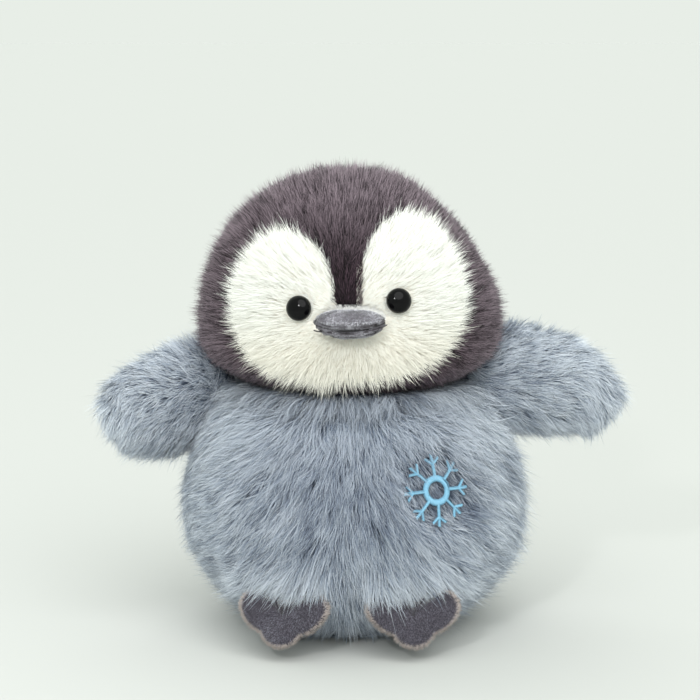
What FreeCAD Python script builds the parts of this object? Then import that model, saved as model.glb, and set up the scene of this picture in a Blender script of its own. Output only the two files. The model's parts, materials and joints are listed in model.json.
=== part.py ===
"""Plush penguin chick, sitting: a stuffed torso and a wide head in long faux fur, two flippers and two
webbed feet of short-pile cloth, a sewn beak, two safety eyes and an embroidered snowflake.

Millimetres, +Z up, origin at the middle of the flat base that the toy sits on. The face looks along -Y,
and "left" is the toy's own left, +X. Casing panels are modelled as backing cloth plus dense pile, so
their outer faces are where the pile closes up; loose hair tips stand a little further out.
"""
import FreeCAD, Part
import math
import os
from FreeCAD import Matrix, Placement, Rotation, Vector

OUT = "parts"

# Torso: an egg, wider than deep, flat at the base and at the neck.
torso_half_width = 83.0
torso_depth_ratio = 0.9
torso_mid = 60.0
torso_up = 76.0
torso_down = 66.0
torso_top = 113.5
casing = 6.0
base_thickness = 5.0

# Head: wide cheeks low down and a rounder crown, cut flat where it meets the torso.
head_half_width = 72.0
head_depth_ratio = 0.87
head_mid = 151.0
head_up = 74.0
head_down = 36.0
head_bottom = 121.0
head_squareness_up = 2.15
head_squareness_down = 2.7

# Soft ball of stuffing that joins head and torso; the head turns and nods about its centre.
neck_centre = Vector(0, 0, 117.25)
neck_radius = 27.0
running_gap = 0.4
neck_thread_ring = 33.0
thread_radius = 0.6

# Face: everything is placed from the beak's centre and leans a little with the head.
beak_height = 160.0
face_roll = 4.3
beak_seat = -60.0
beak_half_width = 18.0
beak_half_height = 7.4
beak_reach = 14.0
beak_cloth = 1.5
mouth_drop = 2.6
mouth_thread_end = -62.5
eye_across = 24.0
eye_up = 7.8
eye_radius = 6.0
eye_dome = 4.2
eye_flange = 1.0
eye_sink = 2.0
post_radius = 2.2
post_length = 13.0
post_ridge = 0.3
ridge_count, ridge_pitch, ridge_length = 4, 2.0, 0.8
washer_radius = 7.5
washer_thickness = 1.4
washer_depth = 6.7
gusset_half_width = 13.0
lobe_lower = 0.92

# Flippers: the shoulder ball sits in a pocket in the torso, and the blade widens beyond it.
shoulder = Vector(68, 4, 114)
shoulder_pocket = 11.4
wing_casing = 3.5
# distance along the flipper, half height, half thickness
wing_stations = [
    (-8.5, 5.5, 5.5),
    (-4, 9, 8.8),
    (2, 10, 9.5),
    (8, 10, 9.5),
    (14, 11.5, 10),
    (20, 16, 11),
    (27, 21.5, 11.5),
    (35, 24, 12),
    (44, 23.5, 12),
    (53, 19.5, 10.5),
    (61, 13, 7.5),
    (66, 5, 3.5),
]
left_droop, left_forward = -1.0, 3.0
right_droop, right_forward = 8.0, 28.0

# Feet: webbed pads sewn under the belly, sloping down to the toes.
foot_hinge = Vector(29, -66.5, 31)
foot_thickness = 6.5
foot_cloth = 1.8
foot_slope = 58.0
left_splay, right_splay = 6.0, 20.0

# Pellet pouch low in the torso, so that the toy sits upright.
pouch_half = Vector(44, 38, 13)
pouch_centre = Vector(0, 0, 19)
pouch_cloth = 1.0

# Embroidered snowflake on the left of the belly.
flake_across, flake_height = 41.0, 79.5
flake_ring = (4.2, 7.4)
flake_arm_reach = 17.0
flake_arms = 8
flake_thread = 1.6
flake_twig_length, flake_twig_lean = 4.6, 50.0
flake_proud = 0.9

# Ladder stitches that close the back seam after stuffing.
stitch_count = 7
stitch_pitch = 6.0
stitch_low = 48.0
stitch_length = 6.0
stitch_radius = 0.4

FAR = 200.0
ORIGIN = Vector(0, 0, 0)
X, Y, Z = Vector(1, 0, 0), Vector(0, 1, 0), Vector(0, 0, 1)


# ---------------------------------------------------------------- helpers

def save(name, *shapes):
    """Writes one node: a single solid, or a group of separate ones."""
    solids = [s for shape in shapes for s in shape.Solids]
    shape = solids[0] if len(solids) == 1 else Part.makeCompound(solids)
    shape.exportStep(os.path.join(OUT, name + ".step"))
    print(f"{name}: {len(solids)} solid(s), {sum(s.Volume for s in solids) / 1000:.2f} cm3,"
          f" valid {shape.isValid()}")


def reach_at(z, half_width, mid, up, down, n_up=2.0, n_down=2.0):
    """Half width of an egg at height z."""
    span, n = (up, n_up) if z >= mid else (down, n_down)
    share = min(1.0, abs(z - mid) / span)
    return half_width * (1 - share**n) ** (1 / n)


def egg(half_width, depth_ratio, mid, up, down, n_up=2.0, n_down=2.0, steps=12):
    """A closed egg: a superellipse profile turned about Z, then made shallower front to back."""
    points = []
    for i in range(2 * steps + 1):
        angle = math.pi / 2 - i * math.pi / (2 * steps)
        n, span = (n_up, up) if angle >= 0 else (n_down, down)
        across = half_width * abs(math.cos(angle)) ** (2 / n)
        rise = span * abs(math.sin(angle)) ** (2 / n)
        points.append(Vector(across, 0, mid + math.copysign(rise, angle)))
    points[0].x = points[-1].x = 0.0
    curve = Part.BSplineCurve()
    curve.interpolate(Points=points, InitialTangent=X, FinalTangent=-X)
    face = Part.Face(Part.Wire([curve.toShape(), Part.makeLine(points[-1], points[0])]))
    squeeze = Matrix()
    squeeze.A22 = depth_ratio
    return face.revolve(ORIGIN, Z, 360).transformGeometry(squeeze)


def ellipsoid(half, centre):
    stretch = Matrix()
    stretch.A11, stretch.A22, stretch.A33 = half.x, half.y, half.z
    ball = Part.makeSphere(1.0).transformGeometry(stretch)
    ball.translate(centre)
    return ball


def block(x0, x1, y0, y1, z0, z1):
    return Part.makeBox(x1 - x0, y1 - y0, z1 - z0, Vector(x0, y0, z0))


def slab(z0, z1):
    return block(-FAR, FAR, -FAR, FAR, z0, z1)


def rolled(shape, angle=face_roll):
    """Leans a piece of the face about the beak's own fore-and-aft axis; the toy's left side rises."""
    shape = shape.copy()
    shape.rotate(Vector(0, 0, beak_height), Y, -angle)
    return shape


# ---------------------------------------------------------------- head

def head_egg(inset=0.0):
    return egg(head_half_width - inset, head_depth_ratio, head_mid, head_up - inset,
               head_down - inset, head_squareness_up, head_squareness_down)


def face_point(across, up):
    """Point on the front of the head, leaning with the face, and its outward normal."""
    lean = Rotation(Y, -face_roll).multVec(Vector(across, 0, up))
    x, z = lean.x, beak_height + lean.z

    def depth(x, z):
        r = reach_at(z, head_half_width, head_mid, head_up, head_down,
                     head_squareness_up, head_squareness_down)
        return -head_depth_ratio * math.sqrt(max(r * r - x * x, 0.0))

    step = 0.01
    slope_x = (depth(x + step, z) - depth(x - step, z)) / (2 * step)
    slope_z = (depth(x, z + step) - depth(x, z - step)) / (2 * step)
    normal = Vector(slope_x, -1, slope_z)
    return Vector(x, depth(x, z), z), normal.normalize()


def face_lobe(side):
    """Prism through one white face panel: beak, up beside the stripe, round the cheek, down to the chin."""
    tall = 1.0 if side > 0 else lobe_lower
    outline = [(6, 4), (6, 14), (7.5, 26 * tall), (12.5, 37 * tall), (21, 44 * tall), (32, 46 * tall),
               (46, 37 * tall), (55.5, 16), (55, -4), (46, -18), (30, -26), (0, -28)]
    points = [Vector(side * x, -FAR, beak_height + z) for x, z in outline]
    curve = Part.BSplineCurve()
    curve.interpolate(points)
    seam_top = Vector(0, -FAR, beak_height + 1)
    seam = [Part.makeLine(points[-1], seam_top), Part.makeLine(seam_top, points[0])]
    wire = Part.Wire([curve.toShape()] + seam)
    return rolled(Part.Face(wire).extrude(Vector(0, FAR, 0)))


def beak_pieces():
    centre = Vector(0, beak_seat, beak_height)
    outer_half = Vector(beak_half_width, beak_reach, beak_half_height)
    cloth = Vector(beak_cloth, beak_cloth, beak_cloth)
    thread = Vector(thread_radius, thread_radius, thread_radius)
    seat = head_egg(casing / 2)
    outer = ellipsoid(outer_half, centre)
    whole = rolled(outer).cut(seat)
    filling = rolled(ellipsoid(outer_half - cloth, centre)).cut(head_egg(casing / 2 - beak_cloth / 2))
    shell = whole.cut(filling)
    mouth = beak_height - mouth_drop
    above = rolled(slab(mouth, mouth + 60))
    below = rolled(slab(mouth - 60, mouth))
    belt = ellipsoid(outer_half + thread, centre).cut(outer)
    belt = belt.common(slab(mouth - thread_radius / 2, mouth + thread_radius / 2))
    line = rolled(belt.common(block(-FAR, FAR, -FAR, mouth_thread_end, 0, 2 * FAR)))
    return whole, shell.common(above), shell.common(below), filling, line


def eye(side):
    """Safety eye and its locking washer, built along +Z and stood on the face."""
    point, normal = face_point(side * eye_across, eye_up)
    place = Placement(point - normal * eye_sink, Rotation(Z, normal))
    dome = ellipsoid(Vector(eye_radius, eye_radius, eye_dome), Vector(0, 0, eye_flange))
    dome = dome.common(slab(eye_flange, FAR))
    body = Part.makeCylinder(eye_radius, eye_flange).fuse(dome)
    body = body.fuse(Part.makeCylinder(post_radius, post_length, Vector(0, 0, -post_length)))
    for k in range(ridge_count):
        low = Vector(0, 0, 1 + k * ridge_pitch - post_length)
        body = body.fuse(Part.makeCylinder(post_radius + post_ridge, ridge_length, low))
    body = body.removeSplitter()
    hole = post_radius + post_ridge + 0.05
    low = Vector(0, 0, eye_sink - washer_depth - washer_thickness)
    washer = Part.makeCylinder(washer_radius, washer_thickness, low)
    room = washer.fuse(Part.makeCylinder(hole, post_length + 1, Vector(0, 0, -post_length - 1)))
    washer = washer.cut(Part.makeCylinder(hole, 2 * post_length, Vector(0, 0, -2 * post_length)))
    for shape in (body, washer, room):
        shape.Placement = place
    return body, washer, room


def make_head():
    body = head_egg().common(slab(head_bottom, FAR + head_mid))
    core = head_egg(casing).common(slab(head_bottom + casing, FAR + head_mid))
    socket = Part.makeSphere(neck_radius + running_gap, neck_centre)
    shell = body.cut(core).cut(socket)
    whole_beak, beak_upper, beak_lower, beak_filling, mouth_thread = beak_pieces()
    shell = shell.cut(whole_beak)
    stuffing = core.cut(socket)
    hood = shell
    for side, name in ((1, "left"), (-1, "right")):
        lobe = face_lobe(side)
        body_of_eye, washer, room = eye(side)
        save(f"face_panel_{name}", shell.common(lobe).cut(body_of_eye))
        save(f"eye_{name}", body_of_eye)
        save(f"eye_washer_{name}", washer)
        stuffing = stuffing.cut(room)
        hood = hood.cut(lobe)
    strip = block(-gusset_half_width, gusset_half_width, -FAR, FAR, head_mid, FAR + head_mid)
    strip = strip.fuse(block(-gusset_half_width, gusset_half_width, 0, FAR, 0, head_mid))
    save("crown_gusset", hood.common(strip))
    sides = hood.cut(strip)
    save("hood_left", sides.common(block(0, FAR, -FAR, FAR, 0, 2 * FAR)))
    save("hood_right", sides.common(block(-FAR, 0, -FAR, FAR, 0, 2 * FAR)))
    save("head_stuffing", stuffing)
    save("beak_upper", beak_upper)
    save("beak_lower", beak_lower)
    save("beak_filling", beak_filling)
    save("mouth_thread", mouth_thread)
    save("neck_stuffing", Part.makeSphere(neck_radius, neck_centre))


# ---------------------------------------------------------------- torso

def torso_egg(inset=0.0):
    return egg(torso_half_width - inset, torso_depth_ratio, torso_mid, torso_up - inset, torso_down - inset)


def belly_point(across, height):
    """Point on the front of the torso and its outward normal."""
    r = reach_at(height, torso_half_width, torso_mid, torso_up, torso_down)
    y = -torso_depth_ratio * math.sqrt(r * r - across * across)
    span = torso_up if height >= torso_mid else torso_down
    normal = Vector(across / torso_half_width**2, y / (torso_half_width * torso_depth_ratio) ** 2,
                    (height - torso_mid) / span**2)
    return Vector(across, y, height), normal.normalize()


def snowflake():
    """A ring with branched arms in satin stitch, laid on the curve of the belly."""
    point, normal = belly_point(flake_across, flake_height)
    tall = 40.0
    inner, outer = flake_ring
    shape = Part.makeCylinder(outer, tall).cut(Part.makeCylinder(inner, tall))
    for k in range(flake_arms):
        half = flake_thread / 2
        arm = block(outer - 0.6, flake_arm_reach, -half, half, 0, tall)
        for lean in (-flake_twig_lean, flake_twig_lean):
            twig = block(0, flake_twig_length, -half * 0.8, half * 0.8, 0, tall)
            twig.rotate(ORIGIN, Z, lean)
            twig.translate(Vector(flake_arm_reach - flake_twig_length, 0, 0))
            arm = arm.fuse(twig)
        arm.rotate(ORIGIN, Z, k * 360 / flake_arms)
        shape = shape.fuse(arm)
    shape.translate(Vector(0, 0, -tall / 2))
    shape.Placement = Placement(point, Rotation(Z, normal)).multiply(shape.Placement)
    return shape.common(torso_egg(-flake_proud).cut(torso_egg()))


def closing_stitches():
    bars = []
    for k in range(stitch_count):
        z = stitch_low + k * stitch_pitch
        y = torso_depth_ratio * reach_at(z, torso_half_width, torso_mid, torso_up, torso_down)
        start = Vector(-stitch_length / 2, y + stitch_radius + 0.15, z)
        bars.append(Part.makeCylinder(stitch_radius, stitch_length, start, X))
    return bars


def make_torso():
    body = torso_egg().common(slab(0, torso_top))
    core = torso_egg(casing).common(slab(base_thickness, torso_top - casing))
    room = Part.makeSphere(neck_radius + running_gap, neck_centre)
    for side in (1, -1):
        at = Vector(side * shoulder.x, shoulder.y, shoulder.z)
        room = room.fuse(Part.makeSphere(shoulder_pocket, at))
    shell = body.cut(core)
    save("base_panel", shell.common(slab(0, base_thickness)))
    wall = shell.common(slab(base_thickness, torso_top)).cut(room)
    save("belly_panel", wall.common(block(-FAR, FAR, -FAR, 0, 0, FAR)))
    save("back_panel_left", wall.common(block(0, FAR, 0, FAR, 0, FAR)))
    save("back_panel_right", wall.common(block(-FAR, 0, 0, FAR, 0, FAR)))
    pouch = ellipsoid(pouch_half, pouch_centre)
    pellets = ellipsoid(pouch_half - Vector(pouch_cloth, pouch_cloth, pouch_cloth), pouch_centre)
    save("torso_stuffing", core.cut(room).cut(pouch))
    save("pellet_pouch", pouch.cut(pellets))
    save("pellets", pellets)
    save("snowflake_embroidery", snowflake())
    save("closing_stitches", *closing_stitches())
    ring_height = torso_top + thread_radius + 0.05
    save("neck_seam_thread", Part.makeTorus(neck_thread_ring, thread_radius, Vector(0, 0, ring_height)))


# ---------------------------------------------------------------- flippers

def wing_section(along, half_height, half_thickness, points=16):
    ring = []
    for k in range(points):
        angle = 2 * math.pi * k / points
        ring.append(Vector(along, half_thickness * math.cos(angle), half_height * math.sin(angle)))
    curve = Part.BSplineCurve()
    curve.interpolate(ring, PeriodicFlag=True)
    return Part.Wire(curve.toShape())


def make_wing(side, name, droop, forward):
    outer = Part.makeLoft([wing_section(*s) for s in wing_stations], True)
    inner = [wing_section(u, h - wing_casing, t - wing_casing) for u, h, t in wing_stations[1:-1]]
    filling = Part.makeLoft(inner, True)
    shell = outer.cut(filling)
    pieces = {
        "front": shell.common(block(-FAR, FAR, -FAR, 0, -FAR, FAR)),
        "back": shell.common(block(-FAR, FAR, 0, FAR, -FAR, FAR)),
        "stuffing": filling,
    }
    for piece, shape in pieces.items():
        if side < 0:
            shape = shape.mirror(ORIGIN, X)
        shape.rotate(ORIGIN, Y, side * droop)
        shape.rotate(ORIGIN, Z, -side * forward)
        shape.translate(Vector(side * shoulder.x, shoulder.y, shoulder.z))
        save(f"wing_{name}_{piece}", shape)


# ---------------------------------------------------------------- feet

def foot_outline(inset=0.0):
    """Webbed foot from above, heel at the origin: straight heel, flared sides, three toes along -Y."""
    heel, web, knuckle = 15.0, 9.5, 21.5
    corners = [Vector(heel, 0, 0), Vector(knuckle, -11, 0), Vector(web, -20.5, 0), Vector(-web, -20.5, 0),
               Vector(-knuckle, -11, 0), Vector(-heel, 0, 0)]
    middles = [Vector(21, -4, 0), Vector(16.8, -17.1, 0), Vector(0, -27, 0), Vector(-16.8, -17.1, 0),
               Vector(-21, -4, 0)]
    edges = [Part.Arc(corners[i], middles[i], corners[i + 1]).toShape() for i in range(5)]
    wire = Part.Wire(edges + [Part.makeLine(corners[-1], corners[0])])
    return wire.makeOffset2D(-inset) if inset else wire


def make_foot(side, name, splay):
    half = foot_thickness / 2
    whole = Part.Face(foot_outline()).extrude(Vector(0, 0, foot_thickness))
    whole.translate(Vector(0, 0, -half))
    room = foot_thickness - 2 * foot_cloth
    filling = Part.Face(foot_outline(foot_cloth)).extrude(Vector(0, 0, room))
    filling.translate(Vector(0, 0, -room / 2))
    shell = whole.cut(filling)
    pieces = {
        "upper": shell.common(slab(0, half)),
        "sole": shell.common(slab(-half, 0)),
        "stuffing": filling,
    }
    for piece, shape in pieces.items():
        shape.rotate(ORIGIN, X, foot_slope)
        shape.rotate(ORIGIN, Z, side * splay)
        shape.translate(Vector(side * foot_hinge.x, foot_hinge.y, foot_hinge.z))
        save(f"foot_{name}_{piece}", shape)


def main():
    os.makedirs(OUT, exist_ok=True)
    make_torso()
    make_head()
    make_wing(1, "left", left_droop, left_forward)
    make_wing(-1, "right", right_droop, right_forward)
    make_foot(1, "left", left_splay)
    make_foot(-1, "right", right_splay)


main()
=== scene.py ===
import json
import math

import bpy
import numpy as np
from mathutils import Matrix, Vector
from mathutils.bvhtree import BVHTree
from mathutils.kdtree import KDTree

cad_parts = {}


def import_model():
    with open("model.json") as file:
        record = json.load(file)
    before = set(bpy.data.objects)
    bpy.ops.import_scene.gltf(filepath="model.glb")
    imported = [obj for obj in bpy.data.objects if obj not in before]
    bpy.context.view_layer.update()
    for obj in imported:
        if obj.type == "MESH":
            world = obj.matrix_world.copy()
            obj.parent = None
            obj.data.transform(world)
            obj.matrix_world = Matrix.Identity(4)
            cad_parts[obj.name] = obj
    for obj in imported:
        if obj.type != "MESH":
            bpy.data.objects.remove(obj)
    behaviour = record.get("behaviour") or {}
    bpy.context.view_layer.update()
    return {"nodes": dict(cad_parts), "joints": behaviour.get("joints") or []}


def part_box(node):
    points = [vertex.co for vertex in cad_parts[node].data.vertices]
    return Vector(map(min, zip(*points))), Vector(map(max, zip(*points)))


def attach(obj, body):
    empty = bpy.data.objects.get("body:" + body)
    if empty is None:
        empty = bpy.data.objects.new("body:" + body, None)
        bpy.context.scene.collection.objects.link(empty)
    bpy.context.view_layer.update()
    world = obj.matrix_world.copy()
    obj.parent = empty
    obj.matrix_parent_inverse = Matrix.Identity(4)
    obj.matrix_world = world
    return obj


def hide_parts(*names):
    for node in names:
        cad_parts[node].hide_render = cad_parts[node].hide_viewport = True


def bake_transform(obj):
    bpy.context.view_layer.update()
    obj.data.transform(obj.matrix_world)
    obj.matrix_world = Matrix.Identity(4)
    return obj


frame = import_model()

MM = 0.001
rng = np.random.default_rng(11)
nodes = frame["nodes"]
joints = {j["name"]: j for j in frame["joints"]}
joint_at = {name: np.array(j["pos_m"]) for name, j in joints.items()}
SIDES = {"left": 1, "right": -1}

# How deep the hair roots and the skin lie under the CAD surface.
ROOT_DEPTH = 4.6 * MM
SKIN_DEPTH = 4.2 * MM
# Hairs to a square millimetre.
BODY_HAIRS = 2.4
HEAD_HAIRS = 3.4
FOOT_NAP = 6.5
BEAK_NAP = 9.0
# Straight pieces in each hair.
HAIR_STEPS = 3
# Rays that look for a surface from outside start this far off.
FAR_OFF = 0.3
# A panel's face is in the open air when nothing lies this close in front of it.
CLEAR = 5 * MM


# ---- small maths

def unit(v):
    return v / np.maximum(np.linalg.norm(v, axis=-1, keepdims=True), 1e-12)


def dot(a, b):
    return (a * b).sum(-1, keepdims=True)


def on_surface(v, normal):
    """The part of v that runs along the surface, as a unit vector."""
    return unit(v - dot(v, normal) * normal)


def ease(x, low, high):
    t = np.clip((x - low) / (high - low), 0, 1)
    return t * t * (3 - 2 * t)


def bell(x, width):
    return np.exp(-(x / width) ** 2)


def drift(points, size, seed, channels=3):
    """Smooth random values, about -1 to 1, that change over about this distance."""
    own = np.random.default_rng(seed)
    waves = own.normal(size=(3, 8)) / size
    phase = own.uniform(0, 2 * math.pi, (8, channels))
    return np.sin((points @ waves)[:, :, None] + phase[None]).sum(1) / 3


def round_turn(count, start=0.0):
    """Even angles once round; from a full turn they run backwards."""
    return np.linspace(start, 2 * math.pi - start, count, endpoint=False)


def box_centre(*names):
    lows, highs = zip(*(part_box(n) for n in names))
    return (np.min(np.array(lows), 0) + np.max(np.array(highs), 0)) / 2


# ---- surfaces

def points_of(mesh):
    points = np.empty(3 * len(mesh.vertices), np.float32)
    mesh.vertices.foreach_get("co", points)
    return points.reshape(-1, 3)


def move_points(mesh, points):
    mesh.vertices.foreach_set("co", points.astype(np.float32).reshape(-1))


def mesh_triangles(mesh):
    """Points of a mesh, and the three corner indices of each of its triangles."""
    mesh.calc_loop_triangles()
    corners = np.empty(3 * len(mesh.loop_triangles), np.int32)
    mesh.loop_triangles.foreach_get("vertices", corners)
    return points_of(mesh).astype(float), corners.reshape(-1, 3)


def triangles(name):
    return mesh_triangles(nodes[name].data)


def tree_of(names):
    """A search tree over these CAD nodes, and each triangle's node by its place in the list."""
    points, corners, owner, start = [], [], [], 0
    for k, name in enumerate(names):
        p, c = triangles(name)
        points.append(p)
        corners.append(c + start)
        owner.append(np.full(len(c), k))
        start += len(p)
    tree = BVHTree.FromPolygons(np.concatenate(points).tolist(), np.concatenate(corners).tolist())
    return tree, np.concatenate(owner)


def smooth_corners(points, corners):
    """Corner points and corner normals of triangles, with the normals shared where points meet."""
    a, b, c = (points[corners[:, k]] for k in range(3))
    cross = np.cross(b - a, c - a)
    key = np.round(points / (0.02 * MM)).astype(np.int64)
    _, place = np.unique(key, axis=0, return_inverse=True)
    place = place.reshape(-1)
    total = np.zeros((place.max() + 1, 3))
    for k in range(3):
        np.add.at(total, place[corners[:, k]], cross)
    return points[corners], unit(total)[place[corners]]


def open_air(name, centre, reach):
    """Triangles of a CAD panel that face the open air."""
    points, corners = triangles(name)
    a, b, c = (points[corners[:, k]] for k in range(3))
    normal, middle = unit(np.cross(b - a, c - a)), (a + b + c) / 3
    outward = dot(normal, unit(middle - centre))[:, 0] > 0.25
    for i in np.flatnonzero(outward):
        start = Vector(middle[i] + normal[i] * 0.1 * MM)
        outward[i] = everything.ray_cast(start, Vector(normal[i]), reach)[0] is None
    return smooth_corners(points, corners[outward])


def scatter(points, normals, per_mm2):
    """Random places on triangles, even by area, with their normals."""
    size = np.linalg.norm(np.cross(points[:, 1] - points[:, 0], points[:, 2] - points[:, 0]), axis=1) / 2
    count = int(size.sum() / MM**2 * per_mm2)
    pick = rng.choice(len(size), count, p=size / size.sum())
    u, v = rng.random((2, count, 1))
    over = u + v > 1
    u, v = np.where(over, 1 - u, u), np.where(over, 1 - v, v)
    w = 1 - u - v

    def mixed(x):
        return x[pick, 0] * w + x[pick, 1] * u + x[pick, 2] * v
    return mixed(points), unit(mixed(normals))


def new_piece(name, verts, faces, material):
    mesh = bpy.data.meshes.new(name)
    mesh.from_pydata(np.asarray(verts).tolist(), [], faces)
    mesh.polygons.foreach_set("use_smooth", np.ones(len(mesh.polygons), bool))
    mesh.materials.append(material)
    made = bpy.data.objects.new(name, mesh)
    bpy.context.scene.collection.objects.link(made)
    return made


def round_grid(name, grid, material):
    """A closed mesh from rows of points, facing outward; each row goes round, and each end row closes on a
    point."""
    across, along = np.roll(grid, -1, axis=1) - grid, np.gradient(grid, axis=0)
    if dot(np.cross(across, along), grid - grid.mean((0, 1))).sum() < 0:
        grid = grid[:, ::-1]
    rows, columns = grid.shape[:2]
    verts = grid.reshape(-1, 3).tolist()
    faces = []
    for r in range(rows - 1):
        for c in range(columns):
            d = (c + 1) % columns
            faces.append((r * columns + c, r * columns + d, (r + 1) * columns + d, (r + 1) * columns + c))
    for row, order in ((0, -1), (rows - 1, 1)):
        verts.append(grid[row].mean(0).tolist())
        for c in range(columns):
            pair = (row * columns + c, row * columns + (c + 1) % columns)
            faces.append((*pair[::order], len(verts) - 1))
    return new_piece(name, verts, faces, material)


def dress(piece, body, slot, *replaced):
    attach(piece, body)
    if replaced:
        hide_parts(*replaced)


# ---- cloth under pressure

PUFF_SCALE = 10
PUFF_FRAMES = 20


def puff(piece, pressure, cap):
    """Blows a closed cloth form up in a cloth simulation, at ten times its size, and keeps the result.
    No point moves further than cap."""
    mesh = piece.data
    before = points_of(mesh)
    large = (before - before.mean(0)) * PUFF_SCALE
    move_points(mesh, large)
    cloth = piece.modifiers.new("cloth", "CLOTH")
    cloth.settings.quality = 6
    cloth.settings.use_pressure = True
    cloth.settings.uniform_pressure_force = pressure
    cloth.settings.effector_weights.gravity = 0
    cloth.settings.bending_stiffness = 0.2
    scene = bpy.context.scene
    for step in range(1, PUFF_FRAMES + 1):
        scene.frame_set(step)
    blown = piece.evaluated_get(bpy.context.evaluated_depsgraph_get()).to_mesh()
    after = points_of(blown)
    piece.modifiers.remove(cloth)
    scene.frame_set(1)
    move = (after - large) / PUFF_SCALE
    size = np.linalg.norm(move, axis=1, keepdims=True)
    move *= np.minimum(1, cap / np.maximum(size, 1e-9))
    move_points(mesh, before + move)
    mesh.update()


# ---- fur

def lead_of(roots, spacing, per_mm2):
    """For each hair, the index of the nearest of a random few hairs that lead the locks."""
    area = len(roots) / per_mm2
    lead = rng.choice(len(roots), max(4, int(area / (spacing / MM) ** 2)), replace=False)
    tree = KDTree(len(lead))
    for i, p in enumerate(roots[lead].tolist()):
        tree.insert(p, i)
    tree.balance()
    return lead[np.array([tree.find(p)[1] for p in roots.tolist()])]


def fur(name, root, normal, flow, length, lift, material, width=0.19 * MM, lock=4.5 * MM, gather=0.22,
        stray=0.09, jitter=0.2, shade_and_tint=0.0, floor=None, per_mm2=BODY_HAIRS, combed=0.25, unruly=0.16,
        narrowing=0.35, lock_tone=0.3, pale=0.0):
    """One mesh of tapered hairs. lift is the angle off the surface at root and tip, in radians. Hairs gather
    into locks that lean their own way and narrow to their tips; a few strays stand up. tint goes to the
    material, and pale makes the hairs lighter."""
    count = len(root)
    lead = lead_of(root, lock, per_mm2)
    lean = rng.normal(0, jitter, (count, 3)) + rng.normal(0, unruly, (count, 3))[lead]
    flow = on_surface(flow + lean + combed * drift(root, 14 * MM, 5), normal)
    low, high = (np.broadcast_to(np.asarray(x, float), (count,)).copy() for x in lift)
    high = high + rng.normal(0, 0.10, count) + rng.normal(0, 0.10, count)[lead]
    is_stray = rng.random(count) < stray
    high[is_stray] += rng.uniform(0.2, 0.8, is_stray.sum())
    length = length * rng.uniform(0.74, 1.1, count) * rng.uniform(0.88, 1.08, count)[lead]
    length[is_stray] *= 1.2
    side = np.cross(normal, flow)
    curve = (rng.normal(0, 0.14, count) + rng.normal(0, 0.16, count)[lead])[:, None]
    points = [root]
    for k in range(HAIR_STEPS):
        share = (k + 0.5) / HAIR_STEPS
        angle = (low + (high - low) * share)[:, None]
        step = np.cos(angle) * unit(flow + side * curve * (2 * share - 0.6)) + np.sin(angle) * normal
        points.append(points[-1] + step * (length / HAIR_STEPS)[:, None])
    points = np.stack(points, 1)
    hold = np.where(is_stray, 0.1, gather * rng.uniform(0.5, 1.2, count)[lead])
    for k in range(1, HAIR_STEPS + 1):
        pull = (hold * (k / HAIR_STEPS) ** 1.4)[:, None]
        shape = points[lead, k] - root[lead] + root
        points[:, k] += pull * ((1 - narrowing) * shape + narrowing * points[lead, k] - points[:, k])
    if floor is not None:
        points[:, :, 2] = np.maximum(points[:, :, 2], floor)
    tone = 0.95 * rng.normal(0, 1, count) + lock_tone * rng.normal(0, 1, count)[lead] + pale
    return ribbons(name, points, normal, width * rng.uniform(0.7, 1.3, count), material, tone,
                   np.broadcast_to(shade_and_tint, (count,)))


def ribbons(name, points, normal, width, material, tone, shade_and_tint):
    """A thin tapered blade for each row of points, shaded as if it were round with the skin below it."""
    count, rows = points.shape[:2]
    along = unit(np.gradient(points, axis=1))
    across = unit(np.cross(along, normal[:, None]))
    roll = rng.uniform(-0.8, 0.8, count)[:, None, None]
    blade = np.cos(roll) * across + np.sin(roll) * np.cross(across, along)
    face = np.cross(blade, along)
    flip = np.where(dot(face, normal[:, None]) < 0, -1, 1)
    blade, face = blade * flip, face * flip
    taper = np.array([0.8, 1.0, 0.75])[None, :, None] * width[:, None, None] / 2
    verts = np.empty((count, 2 * rows - 1, 3))
    verts[:, 0:-1:2] = points[:, :-1] - blade[:, :-1] * taper
    verts[:, 1:-1:2] = points[:, :-1] + blade[:, :-1] * taper
    verts[:, -1] = points[:, -1]
    shares = np.repeat(np.linspace(0, 1, rows), 2)[:-1]
    base = (np.arange(count) * (2 * rows - 1))[:, None]
    quads = np.concatenate([np.array([0, 1, 3, 2]) + 2 * k for k in range(rows - 2)])
    tip = np.array([0, 1, 2]) + 2 * (rows - 2)
    loops = np.concatenate([base + quads, base + tip], 1).reshape(-1)
    sizes = np.tile([4] * (rows - 2) + [3], count)
    mesh = bpy.data.meshes.new(name)
    mesh.vertices.add(count * (2 * rows - 1))
    mesh.vertices.foreach_set("co", verts.reshape(-1).astype(np.float32))
    mesh.loops.add(len(loops))
    mesh.loops.foreach_set("vertex_index", loops.astype(np.int32))
    mesh.polygons.add(len(sizes))
    starts = np.concatenate([[0], np.cumsum(sizes)[:-1]])
    mesh.polygons.foreach_set("loop_start", starts.astype(np.int32))
    mesh.update(calc_edges=True)
    for label, values in (("along", np.tile(shares, count)), ("tone", np.repeat(tone, 2 * rows - 1)),
                          ("shade_and_tint", np.repeat(shade_and_tint, 2 * rows - 1))):
        mesh.attributes.new(label, "FLOAT", "POINT").data.foreach_set("value", values.astype(np.float32))
    hair_map(mesh, count, rows, loops)
    facing = np.concatenate([np.repeat(face[:, :-1], 2, 1), face[:, -1:]], 1).reshape(-1, 3)
    mesh.polygons.foreach_set("use_smooth", np.ones(len(sizes), bool))
    mesh.normals_split_custom_set_from_vertices(
        unit(np.repeat(normal, 2 * rows - 1, 0) * 0.75 + facing * 0.45))
    mesh.materials.append(material)
    piece = bpy.data.objects.new(name, mesh)
    bpy.context.scene.collection.objects.link(piece)
    return piece


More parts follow.
